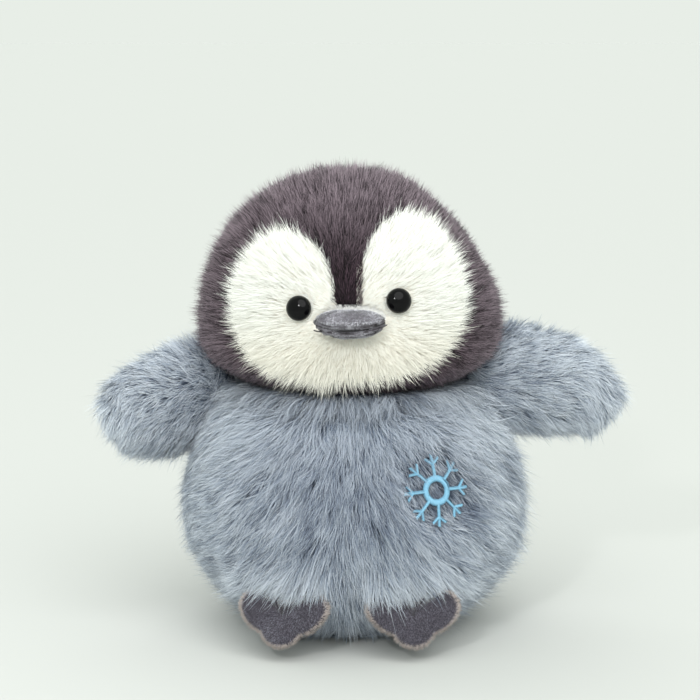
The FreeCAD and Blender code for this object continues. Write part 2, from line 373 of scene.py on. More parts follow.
def hair_map(mesh, count, rows, loops):
    """A UV cell to each hair, six times as tall as wide; every other row of cells is upside down, so that
    roots lie beside roots."""
    lines = max(1, int(math.sqrt(count / 6)))
    columns = math.ceil(count / lines)
    column, line = np.arange(count) // lines, np.arange(count) % lines
    shares = np.repeat(np.linspace(0, 1, rows), 2)[:-1]
    edge = np.tile([0.0, 1.0], rows)[:2 * rows - 1]
    edge[-1] = 0.5
    up = np.where((line % 2)[:, None] == 0, shares[None], 1 - shares[None])
    uv = np.stack([(column[:, None] + edge[None]) / columns, (line[:, None] + up) / lines], -1)
    values = uv.reshape(-1, 2)[loops].reshape(-1).astype(np.float32)
    mesh.uv_layers.new(name="OFBake").data.foreach_set("uv", values)


# ---- materials

def linear(r, g, b):
    """A colour given as it looks on screen, 0 to 255."""
    return tuple((c / 255 / 12.92 if c <= 10 else ((c / 255 + 0.055) / 1.055) ** 2.4) for c in (r, g, b))


def material(name, roughness=0.8, specular=0.3):
    made = bpy.data.materials.new(name)
    made.use_nodes = True
    shader = made.node_tree.nodes["Principled BSDF"]
    shader.inputs["Roughness"].default_value = roughness
    shader.inputs["Specular IOR Level"].default_value = specular
    return made, made.node_tree, shader


def feed(tree, socket, value):
    if isinstance(value, bpy.types.NodeSocket):
        tree.links.new(value, socket)
    else:
        socket.default_value = (*value, 1) if isinstance(value, tuple) else value


def attribute(tree, label):
    made = tree.nodes.new("ShaderNodeAttribute")
    made.attribute_name = label
    return made.outputs["Fac"]


def noise(tree, scale, detail=3.0, stretch=(1, 1, 1)):
    made = tree.nodes.new("ShaderNodeTexNoise")
    spread = tree.nodes.new("ShaderNodeMapping")
    spread.inputs["Scale"].default_value = stretch
    tree.links.new(tree.nodes.new("ShaderNodeTexCoord").outputs["Object"], spread.inputs["Vector"])
    tree.links.new(spread.outputs["Vector"], made.inputs["Vector"])
    made.inputs["Scale"].default_value = scale
    made.inputs["Detail"].default_value = detail
    return made.outputs["Fac"]


def waves(tree, scale, direction, distortion=0.0):
    made = tree.nodes.new("ShaderNodeTexWave")
    made.bands_direction = direction
    tree.links.new(tree.nodes.new("ShaderNodeTexCoord").outputs["Object"], made.inputs["Vector"])
    made.inputs["Scale"].default_value = scale
    made.inputs["Distortion"].default_value = distortion
    return made.outputs["Fac"]


def ramp(tree, source, stops):
    made = tree.nodes.new("ShaderNodeValToRGB")
    elements = made.color_ramp.elements
    while len(elements) < len(stops):
        elements.new(0.5)
    for element, (place, colour) in zip(elements, stops):
        element.position = place
        element.color = (*colour, 1)
    tree.links.new(source, made.inputs["Fac"])
    return made.outputs["Color"]


def paint(tree, shader, source, *stops):
    """Base colour that follows source, from places and screen colours."""
    colour = ramp(tree, source, [(place, linear(*c)) for place, c in stops])
    tree.links.new(colour, shader.inputs["Base Color"])


def mix(tree, share, first, second, blend="MIX"):
    made = tree.nodes.new("ShaderNodeMix")
    made.data_type = "RGBA"
    made.blend_type = blend
    for value, socket in ((share, made.inputs[0]), (first, made.inputs[6]), (second, made.inputs[7])):
        feed(tree, socket, value)
    return made.outputs[2]


def maths(tree, operation, first, second):
    made = tree.nodes.new("ShaderNodeMath")
    made.operation = operation
    feed(tree, made.inputs[0], first)
    feed(tree, made.inputs[1], second)
    return made.outputs[0]


def bumpy(tree, shader, height, strength, distance):
    made = tree.nodes.new("ShaderNodeBump")
    made.inputs["Strength"].default_value = strength
    made.inputs["Distance"].default_value = distance
    tree.links.new(height, made.inputs["Height"])
    tree.links.new(made.outputs["Normal"], shader.inputs["Normal"])


def fur_material(name, root, middle, tip, second, blend="MULTIPLY", sheen=0.25, patch=0.5, spread=0.16,
                 scale=70.0):
    """Hair colour from root to tip, darker at the root partly as the fibres' own colour and partly as
    painted shade deep in the pile; a tone of its own for each hair and lock, soft patches, and a second
    colour mixed in by each hair's share of it. The second colour is painted shade on the torso, flippers,
    face and beak, darkens the hood towards the beak, and is a lighter rim on the feet; the feet's soft
    patches are painted sheen."""
    made, tree, shader = material(name, specular=0.2)
    root, middle, tip, second = (linear(*c) for c in (root, middle, tip, second))
    along, tone, shade_and_tint = (attribute(tree, label) for label in ("along", "tone", "shade_and_tint"))
    shift = maths(tree, "MULTIPLY", maths(tree, "SUBTRACT", noise(tree, scale), 0.5), patch)
    where = maths(tree, "ADD", along, maths(tree, "ADD", shift, maths(tree, "MULTIPLY", tone, spread)))
    colour = ramp(tree, where, [(0.0, root), (0.5, middle), (1.0, tip)])
    shaded = mix(tree, 1.0, colour, second, blend)
    tree.links.new(mix(tree, shade_and_tint, colour, shaded), shader.inputs["Base Color"])
    tree.links.new(maths(tree, "ADD", 0.62, maths(tree, "MULTIPLY", tone, 0.06)), shader.inputs["Roughness"])
    shader.inputs["Sheen Weight"].default_value = sheen
    shader.inputs["Sheen Roughness"].default_value = 0.4
    return made


def speckled(name, dark, light, scale, bump=0.4, depth=0.6 * MM, roughness=0.9, sheen=0.0):
    """Underfur, wadding or short pile: fine noise in colour and height."""
    made, tree, shader = material(name, roughness=roughness, specular=0.2)
    grain = noise(tree, scale, 4.0)
    paint(tree, shader, grain, (0.35, dark), (0.68, light))
    bumpy(tree, shader, grain, bump, depth)
    shader.inputs["Sheen Weight"].default_value = sheen
    return made


def woven(name, dark, light, threads_per_m):
    """Plain weave from two crossed sets of waves."""
    made, tree, shader = material(name, roughness=0.85, specular=0.2)
    weave = maths(tree, "MULTIPLY", waves(tree, threads_per_m, "X"), waves(tree, threads_per_m, "Y"))
    worn = maths(tree, "ADD", weave, maths(tree, "MULTIPLY", noise(tree, 40.0), 0.5))
    paint(tree, shader, worn, (0.2, dark), (0.9, light))
    bumpy(tree, shader, weave, 0.5, 0.2 * MM)
    return made


def spun(name, dark, light, scale=1400.0):
    """Twisted thread: fine slanting bands."""
    made, tree, shader = material(name, roughness=0.55, specular=0.4)
    twist = waves(tree, scale, "DIAGONAL", 1.5)
    paint(tree, shader, twist, (0.1, dark), (0.7, light))
    bumpy(tree, shader, twist, 0.3, 0.1 * MM)
    return made


def moulded(name, dark, light, roughness, scale=300.0, specular=0.5):
    """Plastic with faint flow marks and fine wear in its gloss."""
    made, tree, shader = material(name, specular=specular)
    paint(tree, shader, noise(tree, scale), (0.3, dark), (0.7, light))
    wear = maths(tree, "ADD", roughness, maths(tree, "MULTIPLY", noise(tree, scale * 4), 0.08))
    tree.links.new(wear, shader.inputs["Roughness"])
    return made


# Its second colour, multiplied in, is painted shade on the torso and flippers; the darker roots are partly
# painted shade deep in the pile.
blue_grey = fur_material("blue_grey_fur", (74, 82, 101), (153, 165, 182), (222, 229, 237),
                         (160, 168, 184), spread=0.3)
# The light tips are partly the fibres' own colour and partly painted sheen for the head's light edges; the
# second colour, multiplied in, darkens the hood towards the beak.
charcoal = fur_material("charcoal_fur", (14, 8, 12), (46, 34, 42), (152, 138, 147),
                        (136, 118, 128), spread=0.38)
# Painted shade: the warmer, darker root colour stands for shadow deep in the white pile, and the second
# colour, multiplied in, is painted shade low on the face.
white = fur_material("white_fur", (236, 232, 222), (246, 247, 241), (252, 253, 249),
                     (252, 247, 239), sheen=0.05, patch=0.3)
# Painted shade: this pile under the blue-grey fur is darker than the fur, so the gaps between tufts show as
# shadow.
pile_blue = speckled("blue_grey_pile", (62, 70, 86), (104, 115, 132), 900.0)
pile_dark = speckled("charcoal_pile", (30, 24, 28), (58, 50, 56), 900.0)
pile_white = speckled("white_pile", (240, 235, 225), (252, 249, 242), 900.0)
minky_grey = speckled("minky_grey", (90, 87, 93), (116, 113, 121), 700.0, sheen=0.4)
minky_brown = speckled("minky_brown", (56, 52, 60), (68, 64, 73), 700.0, sheen=0.4)
# Its dark second colour, multiplied in, is painted shade on the beak's nap.
grey_nap = fur_material("grey_nap", (120, 118, 125), (202, 202, 211), (232, 232, 240),
                        (70, 62, 64), sheen=0.5, patch=0.3, scale=200.0, spread=0.08)
# Painted sheen: the strong, large soft light patches on the feet's nap; the second colour is the lighter
# rim, mixed in.
brown_nap = fur_material("brown_nap", (38, 33, 40), (88, 85, 96), (144, 144, 157),
                         (178, 167, 162), blend="MIX", sheen=0.5, patch=0.8, scale=55.0, spread=0.1)
cloth = woven("base_cloth", (58, 62, 72), (98, 104, 116), 320.0)
pouch = woven("pouch_cloth", (188, 186, 178), (232, 230, 222), 300.0)
wadding = speckled("polyester_stuffing", (214, 214, 212), (244, 244, 242), 500.0, depth=1.2 * MM)
thread_blue = spun("thread_blue", (96, 160, 196), (158, 209, 233))
thread_grey = spun("thread_grey", (70, 76, 88), (112, 120, 134))
thread_dark = spun("thread_dark", (18, 16, 20), (44, 40, 46))
eye_black = moulded("eye_plastic", (3, 3, 4), (7, 6, 8), 0.05, specular=0.16)
washer = moulded("washer_plastic", (205, 205, 200), (226, 226, 222), 0.4)
pellet = moulded("pellet_plastic", (198, 204, 208), (232, 236, 238), 0.25)


# ---- places

everything, _ = tree_of(sorted(nodes))
TORSO_PANELS = ("belly_panel", "back_panel_left", "back_panel_right", "base_panel")
HEAD_PANELS = ("face_panel_left", "face_panel_right", "hood_left", "hood_right", "crown_gusset")
torso_centre = box_centre("belly_panel", "base_panel")
head_centre = box_centre("hood_left", "hood_right")
torso_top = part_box("belly_panel")[1][2]
head_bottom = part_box("hood_left")[0][2]
beak = box_centre("beak_upper", "beak_lower")
eyes = [box_centre(f"eye_{side}") for side in SIDES]
for eye, side in zip(eyes, SIDES):
    eye[1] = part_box(f"eye_{side}")[0][1]
flake = box_centre("snowflake_embroidery")
# The snowflake's radius, and a spot near it, from its middle, where the fur parts.
FLAKE_REACH = 17 * MM
FLAKE_PARTING = np.array([17, 5, -7]) * MM


# ---- skins under the fur

def egg_skin(name, panels, centre, body, slot, kind, rows=70, columns=120):
    """The closed surface near the hair roots, found by looking in at the CAD panels from all round. Where
    it meets a face panel it is white."""
    tree, owner = tree_of(panels)
    grid = np.empty((rows, columns, 3))
    pale = np.zeros((rows, columns), bool)
    for r, polar in enumerate(np.linspace(0.02, math.pi - 0.02, rows)):
        for c, turn in enumerate(round_turn(columns, 2 * math.pi)):
            level = math.sin(polar)
            out = np.array([level * math.cos(turn), level * math.sin(turn), math.cos(polar)])
            hit, _, index, _ = tree.ray_cast(Vector(centre + out * FAR_OFF), Vector(-out))
            grid[r, c] = np.array(hit) - out * SKIN_DEPTH
            pale[r, c] = panels[owner[index]].startswith("face")
    piece = round_grid(name, grid, kind)
    piece.data.materials.append(pile_white)
    for r in range(rows - 1):
        for c in range(columns):
            piece.data.polygons[r * columns + c].material_index = int(pale[r, c])
    dress(piece, body, slot, *panels)


def neck_plush():
    """A soft barrel between head and torso."""
    low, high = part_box("neck_stuffing")
    middle = (low[2] + high[2]) / 2
    turns = round_turn(72, 2 * math.pi)
    levels = np.linspace(1, -1, 15)
    radius = (37 - 4 * np.abs(levels) ** 3) * MM
    grid = np.stack([np.stack([r * np.cos(turns), 0.9 * r * np.sin(turns),
                               np.full(72, middle + h * 8 * MM)], 1) for r, h in zip(radius, levels)])
    piece = round_grid("neck_plush", grid, pile_blue)
    dress(piece, "neck", "fur_blue_grey")


# ---- torso

def torso_flow(place, normal):
    """Fur hangs down in the middle and sweeps out to both sides."""
    return on_surface(place * [24, 6, 0] + np.array([0, 0, -0.8]), normal)


# How far the hair above the feet is raised, to hang over them.
SKIRT_RISE = 9 * MM


def torso_fur(names, panel):
    place, normal = scatter(*open_air(panel, torso_centre, CLEAR), BODY_HAIRS)
    top = place[:, 2] > torso_top - 0.3 * MM
    keep = ~top | (np.hypot(place[:, 0], place[:, 1]) > 34 * MM)
    place, normal, top = place[keep], normal[keep], top[keep]
    flow = torso_flow(place, normal)
    flow[top] = unit(place[top] * [1, 1, 0] - [0, 0, 2 * MM])
    collar = ease(place[:, 2], torso_top - 30 * MM, torso_top - 1 * MM)
    front = (place[:, 1] < 0) & (panel == "belly_panel")
    reach = np.linalg.norm(place - np.array([0, place[:, 1].min(), torso_top]), axis=1)
    low_front = bell(np.linalg.norm(place[:, [0, 2]] - [0, 28 * MM], axis=1), 50 * MM) * front
    # Painted shade: the front fur is darkened under the head, most just below it. It is also a little darker
    # low in the middle of the front, and slightly darker everywhere.
    shade_and_tint = 0.04 + 0.52 * (1 - ease(reach, 15 * MM, 95 * MM)) * front + 0.16 * low_front
    length = (19 - 2 * shade_and_tint) * MM
    across = place - flake
    pressed = ease(np.linalg.norm(across, axis=1), FLAKE_REACH - 5 * MM, FLAKE_REACH + 4 * MM)
    parted = bell(np.linalg.norm(across - FLAKE_PARTING, axis=1), 8 * MM)
    # Painted shadow: the fur in the parting beside the snowflake is darkened.
    shade_and_tint = np.maximum(shade_and_tint, 0.8 * parted)
    # Hair is shorter and lower on the toy's right side, and shorter at the back.
    leaner = ease(-place[:, 0], 25 * MM, 75 * MM)
    length *= (0.55 + 0.45 * pressed) * (1 - 0.25 * parted) * (1 - 0.3 * leaner)
    length *= 1 - 0.13 * ease(place[:, 1], 15 * MM, 55 * MM)
    # Hairs that would lie over the snowflake are cut short, except for a few.
    wild = rng.random(len(place)) < 0.12
    for share in (0.9, 0.75, 0.6, 0.45, 0.3):
        tip = across + flow * (length * share)[:, None]
        over = (np.linalg.norm(tip, axis=1) < FLAKE_REACH) & (pressed > 0.5) & ~wild
        length = np.where(over, length * max(share - 0.15, 0.3), length)
    low = np.where(top, 0.2, 1.1 * (0.4 + 0.6 * pressed) * (1 - 0.65 * collar) * (1 - 0.2 * leaner))
    high = np.where(top, -1.0, 0.05)
    fill = np.where(top, 11, 8.5) * MM * collar * rng.random(len(place)) ** 0.6
    length *= np.where(top, rng.uniform(0.6, 1.4, len(place)), 1)
    skirt = np.zeros(len(place))
    for side in SIDES:
        past = place - joint_at[f"foot_{side}_flex"]
        over = ease(past[:, 2], -2 * MM, 6 * MM) * (1 - ease(past[:, 2], 12 * MM, 24 * MM)) * front
        skirt = np.maximum(skirt, over * (1 - ease(np.abs(past[:, 0]), 18 * MM, 27 * MM)))
    fill = fill + SKIRT_RISE * skirt * rng.random(len(place)) ** 0.6
    root = place + normal * (fill - ROOT_DEPTH * np.where(top, 0.4, 1))[:, None]
    halves = [place[:, 0] < 0, place[:, 0] >= 0] if len(names) == 2 else [np.ones(len(place), bool)]
    for name, of in zip(names, halves):
        piece = fur(name, root[of], normal[of], flow[of], length[of], (low[of], high[of]), blue_grey,
                    shade_and_tint=shade_and_tint[of], floor=0.4 * MM, pale=(1.5 * collar + 1.2 * skirt)[of],
                    lock_tone=0.45)
        dress(piece, "torso", "fur_blue_grey", panel)


# ---- head

head_tree, head_owner = tree_of(HEAD_PANELS)


def over_white(spots):
    """True for the spots that lie over a face panel, seen from the middle of the head."""
    found = np.empty(len(spots), bool)
    for i, out in enumerate(unit(spots - head_centre)):
        index = head_tree.ray_cast(Vector(head_centre + out * FAR_OFF), Vector(-out))[2]
        found[i] = HEAD_PANELS[head_owner[index]].startswith("face")
    return found


def head_flow(place, normal):
    """Fur sweeps away from the beak all round the head, and turns down at the back."""
    away = on_surface(place - beak - np.array([0, 6 * MM, 0]), normal)
    back = ease(place[:, 1], 0, 50 * MM)[:, None]
    return on_surface(away * (1 - 0.8 * back) + np.array([0, 0, -0.8]) * back, normal)


def from_beak(place):
    """Distance to the beak's outline, from in front."""
    low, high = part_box("beak_upper")
    gap_x = np.maximum(np.abs(place[:, 0] - beak[0]) - (high[0] - low[0]) / 2, 0)
    gap_z = np.maximum(np.abs(place[:, 2] - beak[2]) - 7 * MM, 0)
    return np.where(place[:, 1] < 0, np.hypot(gap_x, gap_z), 1.0)


def head_fur(name, panel, kind, slot):
    place, normal = scatter(*open_air(panel, head_centre, CLEAR), HEAD_HAIRS)
    under = (place[:, 2] < head_bottom + 0.3 * MM) & (np.hypot(place[:, 0], place[:, 1]) < 36 * MM)
    eye_gap = np.minimum(*(np.linalg.norm(place - e, axis=1) for e in eyes))
    keep = ~under & (eye_gap > 6.2 * MM)
    place, normal, eye_gap = place[keep], normal[keep], eye_gap[keep]
    flow = head_flow(place, normal)
    near = from_beak(place)
    chin = (1 - ease(place[:, 2], head_bottom + 4 * MM, head_bottom + 24 * MM)) * (place[:, 1] < 0)
    if kind is white:
        length = (5 + 8 * ease(near, 0, 22 * MM)) * MM * (0.55 + 0.45 * ease(eye_gap, 6 * MM, 16 * MM))
        cut = np.ones(len(place))
        for share in (1.0, 0.8, 0.6, 0.4):
            past = ~over_white(place + flow * (length * 0.85 * share)[:, None])
            cut[past] = np.minimum(cut[past], share - 0.15)
        overhang = rng.exponential(4 * MM, len(place)) + 6 * MM * chin
        length = np.minimum(length, length * cut + overhang)
        # Painted shade: the white hair takes a warmer, darker colour low on the face, below the beak.
        shade_and_tint = 0.7 * (1 - ease(place[:, 2], beak[2] - 20 * MM, beak[2] + 8 * MM))
        lift = (np.full(len(place), 1.1), np.full(len(place), 0.3))
    else:
        # The toy's upper left side, where the hair lies flatter.
        above = place[:, 2] - head_centre[2]
        flat = ease(place[:, 0], 15 * MM, 50 * MM) * ease(above, -15 * MM, 20 * MM)
        length = (6 + 5.5 * ease(near, 0, 30 * MM)) * MM * (1 - 0.6 * chin) * (1 - 0.35 * flat)
        shade_and_tint = 1 - ease(near, 8 * MM, 60 * MM)
        lift = (1.2 - 0.6 * flat, 0.5 - 0.35 * flat)
    root = place - normal * ROOT_DEPTH
    parts = {name: np.ones(len(place), bool)}
    if panel.startswith("hood"):
        parts = {f"{name}_front": place[:, 1] < 0, f"{name}_back": place[:, 1] >= 0}
    for part, of in parts.items():
        piece = fur(part, root[of], normal[of], flow[of], length[of], (lift[0][of], lift[1][of]), kind,
                    shade_and_tint=shade_and_tint[of], lock=3 * MM, gather=0.2, stray=0.14, unruly=0.1,
                    narrowing=0.3, per_mm2=HEAD_HAIRS)
        dress(piece, "head", slot, panel)


# ---- flippers

# Distance out from the shoulder, half height and half thickness, in millimetres, and how far the middle
# rises above the CAD flipper's own line on each side.
WING_FORM = np.array([(-14, 9, 7), (-6, 19, 11), (2, 24, 12.5), (10, 25.7, 13), (20, 25.5, 13),
                      (30, 24.5, 13), (40, 22, 12.5), (48, 18, 11), (54, 12.5, 8.5), (58, 7, 5),
                      (60, 2, 1.5)])
WING_STRETCH = {"left": 1.12, "right": 0.99}
WING_RISE = {"left": (7, 8, 8, 8, 6.5, 5, 3.5, 2, 1, 0.5, 0),
             "right": (3, 3.5, 3.5, 3.5, 2, 0.5, 0.5, 2, 4, 5, 6)}


def wing_axes(side):
    """Out along the flipper, up across it, and through it, from the CAD stuffing's longest axes."""
    points, _ = triangles(f"wing_{side}_stuffing")
    middle = points.mean(0)
    _, _, axes = np.linalg.svd((points - middle)[::7], full_matrices=False)
    out = axes[0] * np.sign(axes[0] @ (middle - joint_at[f"wing_{side}_flap"]))
    thick = axes[2] * np.sign(axes[2][1])
    return out, np.cross(thick, out) * np.sign(np.cross(thick, out)[2]), thick


wing_axes_of = {side: wing_axes(side) for side in SIDES}


def wing_point(side, share, angle):
    """Places on the flipper's form: share runs from root to tip, angle round it, 0 at the back."""
    out, up, thick = wing_axes_of[side]
    table = np.column_stack([WING_FORM * [WING_STRETCH[side], 1, 1], WING_RISE[side]])
    spot = share * (len(table) - 1)
    low = np.clip(spot.astype(int), 0, len(table) - 2)
    f = (spot - low)[:, None]
    a, b, c, d = (table[np.clip(low + k, 0, len(table) - 1)] for k in (-1, 0, 1, 2))
    square, cube = 2 * a - 5 * b + 4 * c - d, 3 * b - a - 3 * c + d
    form = 0.5 * (2 * b + (c - a) * f + square * f**2 + cube * f**3) * MM
    form[:, 1:3] = np.maximum(form[:, 1:3], 0.3 * MM)
    return (joint_at[f"wing_{side}_flap"] + form[:, :1] * out
            + (form[:, 3] + form[:, 1] * np.sin(angle))[:, None] * up
            + (form[:, 2] * np.cos(angle))[:, None] * thick)


def wing_grid(side, shares, angles):
    """Points and outward normals of a grid over the flipper's form."""
    s, a = np.meshgrid(shares, angles, indexing="ij")
    flat = wing_point(side, s.reshape(-1), a.reshape(-1)).reshape(*s.shape, 3)
    opposite = wing_point(side, s.reshape(-1), a.reshape(-1) + math.pi).reshape(*s.shape, 3)
    normal = unit(np.cross(np.gradient(flat, axis=0), np.gradient(flat, axis=1)))
    return flat, normal * np.sign(dot(normal, flat - opposite).mean())


def wing_surface(side, angles):
    """The flipper's form between two angles as triangles with corner normals."""
    flat, normal = wing_grid(side, np.linspace(0.05, 1, 60), np.linspace(*angles, 40))
    corner = [(slice(None, -1), slice(None, -1)), (slice(1, None), slice(None, -1)),
              (slice(1, None), slice(1, None)), (slice(None, -1), slice(1, None))]
    points = [flat[c].reshape(-1, 3) for c in corner]
    normals = [normal[c].reshape(-1, 3) for c in corner]
    pick = [(0, 1, 2), (0, 2, 3)]
    return (np.concatenate([np.stack([points[i] for i in t], 1) for t in pick]),
            np.concatenate([np.stack([normals[i] for i in t], 1) for t in pick]))


def hang_wing(piece):
    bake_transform(piece)


def wing_skin(side):
    turns = np.linspace(0, 2 * math.pi, 49)
    flat, normal = wing_grid(side, np.linspace(0.02, 0.97, 40), turns)
    grid = (flat - normal * SKIN_DEPTH * ease(np.linspace(1, 0, 40), 0, 0.15)[:, None, None])[:, :-1]
    piece = round_grid(f"wing_{side}_pile", grid, pile_blue)
    hang_wing(piece)
    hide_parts(f"wing_{side}_front", f"wing_{side}_back", f"wing_{side}_stuffing")


def wing_fur(side):
    out, up, _ = wing_axes_of[side]
    at = joint_at[f"wing_{side}_flap"]
    for face, angles in (("front", (math.pi / 2, 3 * math.pi / 2)), ("back", (-math.pi / 2, math.pi / 2))):
        place, normal = scatter(*wing_surface(side, angles), BODY_HAIRS)
        flow = on_surface(place - (at - 22 * MM * out + 12 * MM * up), normal)
        # At its end the hair hangs down over the flipper's end face.
        end = ease((place - at) @ out, 36 * MM, 56 * MM)[:, None]
        flow = on_surface(flow * (1 - 0.7 * end) - up * end, normal)
        # Painted shade: the hair is darkened towards the shoulder, where the flipper meets the body.
        shade_and_tint = 0.2 * (1 - ease((place - at) @ out, 0, 25 * MM))
        piece = fur(f"wing_{side}_fur_{face}", place - normal * ROOT_DEPTH, normal, flow, 14 * MM,
                    (1.1, 0.15), blue_grey, shade_and_tint=shade_and_tint, pale=0.4)
        hang_wing(piece)
        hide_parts(f"wing_{side}_{face}")


# ---- feet

FOOT_ANGLES = 160
FOOT_RINGS = 16


def foot_frame(side):
    """Hinge point, across, ahead and up of the sloping foot."""
    points = np.concatenate([triangles(f"foot_{side}_{part}")[0] for part in ("upper", "sole")])
    hinge = joint_at[f"foot_{side}_flex"]
    _, _, axes = np.linalg.svd(points - points.mean(0), full_matrices=False)
    up = axes[2] * np.sign(axes[2][2])
    across = np.array(joints[f"foot_{side}_flex"]["axis"], float)
    across = unit(across * np.sign(across[0]))
    ahead = np.cross(across, up)
    ahead *= np.sign(ahead @ (points.mean(0) - hinge))
    return points, hinge, across, ahead, up


def foot_outline(side, hinge, across, ahead):
    """The CAD foot seen square on: its middle, and the reach of its edge at even angles."""
    spots = []
    for part in ("upper", "sole"):
        points, corners = triangles(f"foot_{side}_{part}")
        for a, b in ((0, 1), (1, 2), (2, 0)):
            for share in np.linspace(0, 1, 9):
                spots.append(points[corners[:, a]] * (1 - share) + points[corners[:, b]] * share)
    spots = np.concatenate(spots) - hinge
    flat = np.stack([spots @ across, spots @ ahead], 1)
    middle = (flat.min(0) + flat.max(0)) / 2
    flat -= middle
    angle = np.arctan2(flat[:, 1], flat[:, 0]) % (2 * math.pi)
    slot = (angle / (2 * math.pi) * FOOT_ANGLES).astype(int) % FOOT_ANGLES
    reach = np.zeros(FOOT_ANGLES)
    np.maximum.at(reach, slot, np.hypot(flat[:, 0], flat[:, 1]))
    near = np.stack([np.roll(reach, k) for k in (-1, 0, 1)])
    return middle, near.mean(0)


def foot(side):
    points, hinge, across, ahead, up = foot_frame(side)
    middle, reach = foot_outline(side, hinge, across, ahead)
    level = (points - hinge) @ up
    mid_level, half_thick = (level.min() + level.max()) / 2, (level.max() - level.min()) / 2
    turns = (np.arange(FOOT_ANGLES) + 0.5) / FOOT_ANGLES * 2 * math.pi
    edge = np.stack([middle[0] + reach * np.cos(turns), middle[1] + reach * np.sin(turns)], 1)
    rows, sheets = [], []
    for sign in (1, -1):
        rings = np.linspace(0.06, 1, FOOT_RINGS)
        rings = rings if sign > 0 else rings[-2::-1]
        for share in rings:
            rows.append(middle + (edge - middle) * share)
            sheets.append(np.full(FOOT_ANGLES, sign * half_thick * 1.12 * (1 - share**3) ** 0.5))
    flat, sheet = np.stack(rows), np.stack(sheets)
    flat_u, flat_v = flat[..., 0] - middle[0], flat[..., 1] - middle[1]
    # The sides turn up, and a groove runs down between the toes on the upper and lower face.
    groove = 0.8 * MM * bell(np.abs(flat_u) - 6.5 * MM, 2.2 * MM) * (flat_v > 0) * np.sign(sheet)
    dish = 2.2 * MM * (flat_u / (20 * MM)) ** 2 - groove

    def world(u, v, w):
        return hinge + u[..., None] * across + v[..., None] * ahead + (mid_level + w)[..., None] * up
    grid = world(flat[..., 0], flat[..., 1], sheet + dish)
    piece = round_grid(f"foot_{side}_pad", grid, minky_brown)
    puff(piece, pressure=3.0, cap=1.0 * MM)
    dress(piece, f"foot_{side}", "minky_brown", f"foot_{side}_upper", f"foot_{side}_sole",
          f"foot_{side}_stuffing")
    place, normal = scatter(*smooth_corners(*mesh_triangles(piece.data)), FOOT_NAP)
    spot = place - hinge
    u, v = spot @ across - middle[0], spot @ ahead - middle[1]
    turn = np.arctan2(v, u) % (2 * math.pi)
    share = np.hypot(u, v) / np.interp(turn, turns, reach, period=2 * math.pi)
    rim = ease(share, 0.88, 0.95)
    flow = ahead + 0.8 * drift(place, 7 * MM, 21 + SIDES[side])
    outward = (u[:, None] * across + v[:, None] * ahead) * rim[:, None] / MM
    flow = on_surface(flow * (1 - rim[:, None]) + outward, normal)
    piece = fur(f"foot_{side}_nap", place - normal * 0.2 * MM, normal, flow, (1.5 + 0.7 * rim) * MM,
                (1.1, 0.5 + 0.4 * rim), brown_nap, width=0.17 * MM, lock=1.2 * MM, gather=0.0, shade_and_tint=rim,
                floor=0.2 * MM, per_mm2=FOOT_NAP, combed=0.0, lock_tone=0.0)
    dress(piece, f"foot_{side}", "minky_brown", f"foot_{side}_upper", f"foot_{side}_sole")


# ---- beak

def mouth_line(share):
    """Height of the mouth above or below the beak's middle, across the beak from -1 to 1."""
    return (-2.6 * (1 - share**2) + 0.5 * share) * MM


